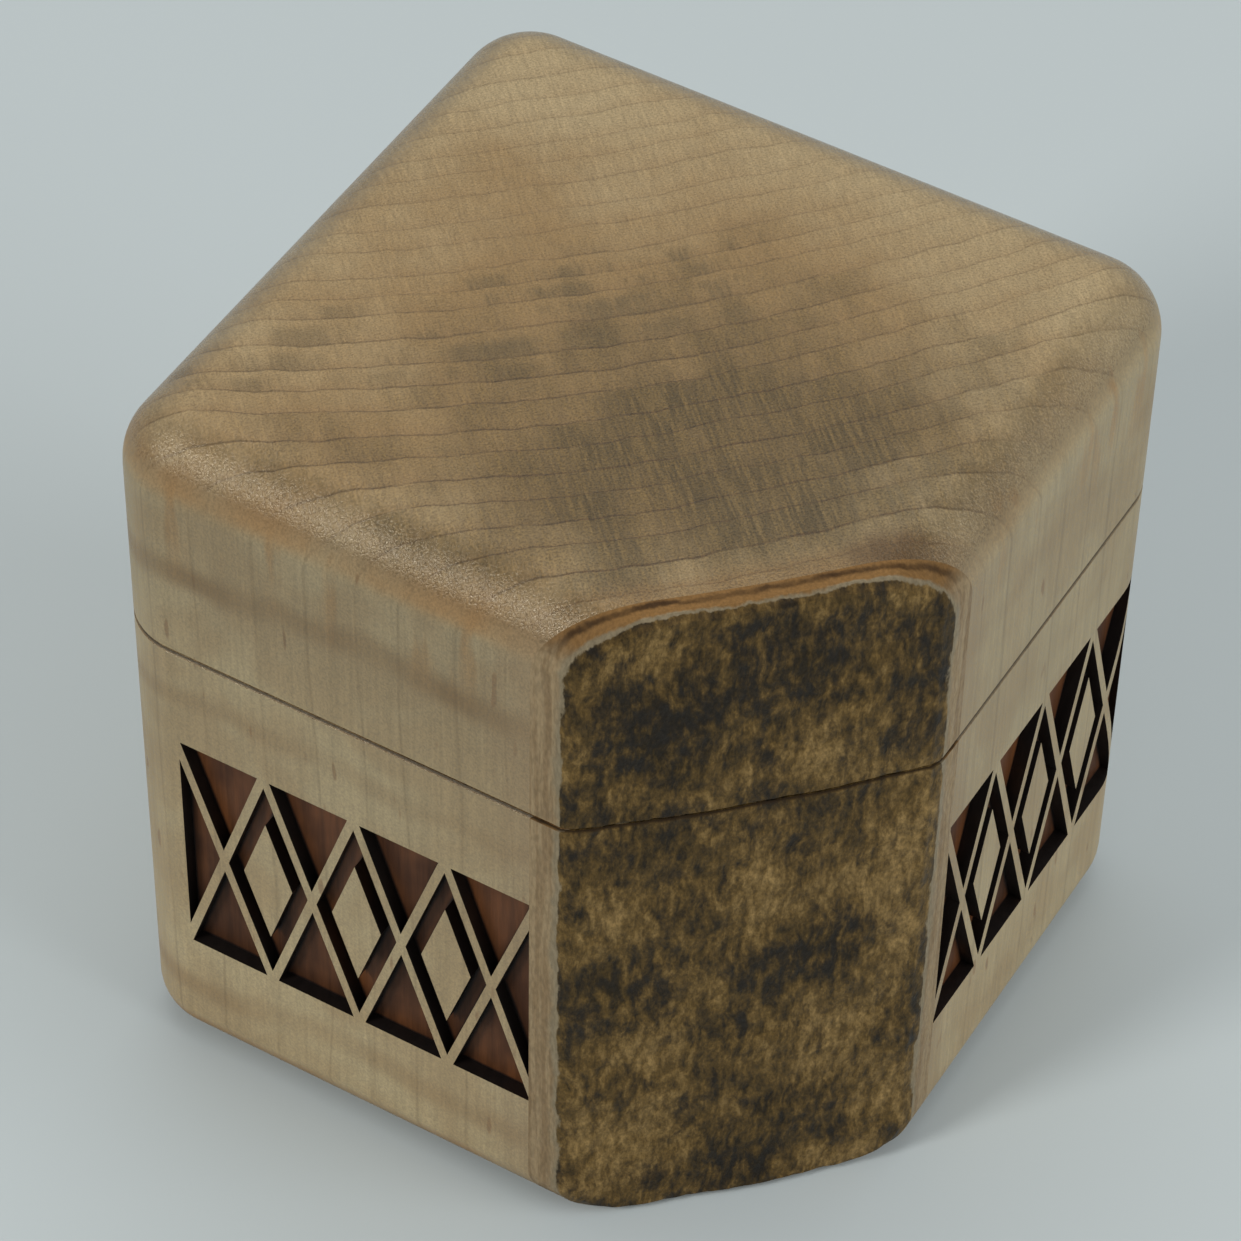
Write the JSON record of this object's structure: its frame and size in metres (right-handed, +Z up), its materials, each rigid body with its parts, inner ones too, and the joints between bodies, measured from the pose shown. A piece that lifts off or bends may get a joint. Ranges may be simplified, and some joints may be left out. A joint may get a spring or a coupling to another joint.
{
  "type": "wooden puzzle box",
  "caption": "Wooden puzzle box sawn from a log wedge, with a natural bark front, carved side panels and a swivelling lid that hidden leaning gravity pins lock.",
  "frame": {"origin": "middle of the footprint's bounding box, on the flat bottom the box stands on", "axes": "+X from the left corner to the right corner, +Y from the bark face to the back corner, +Z up"},
  "size_m": [0.082, 0.0704, 0.07],
  "materials": {
    "maple": "satin",
    "bark": "satin",
    "brass": "satin",
    "steel": "brushed",
    "magnet": "polished"
  },
  "bodies": {
    "base": {"base_block": "maple", "base_bark": "bark", "pivot_bush": "brass", "pivot_plug": "maple", "right_pin_collar": "brass", "base_magnet": "magnet"},
    "lid": {"lid_block": "maple", "lid_bark": "bark", "pivot_rod": "brass", "pivot_washer": "brass", "pivot_screw": "steel", "left_pin_collar": "brass", "lid_magnet": "magnet"},
    "left_lock": {"left_pin": "steel"},
    "right_lock": {"right_pin": "steel"}
  },
  "joints": [
    {"name": "lid_swivel", "type": "hinge", "parent": "base", "child": "lid", "pos_m": [-0.00106, 0.02365, 0.048], "axis": [0, 0, 1], "range_deg": [-180, 180]},
    {"name": "left_pin_slide", "type": "slide", "parent": "lid", "child": "left_lock", "axis": [0.2079, 0, -0.9781], "range_m": [0, 0.008]},
    {"name": "right_pin_slide", "type": "slide", "parent": "base", "child": "right_lock", "axis": [0.2079, 0, 0.9781], "range_m": [0, 0.008]}
  ]
}
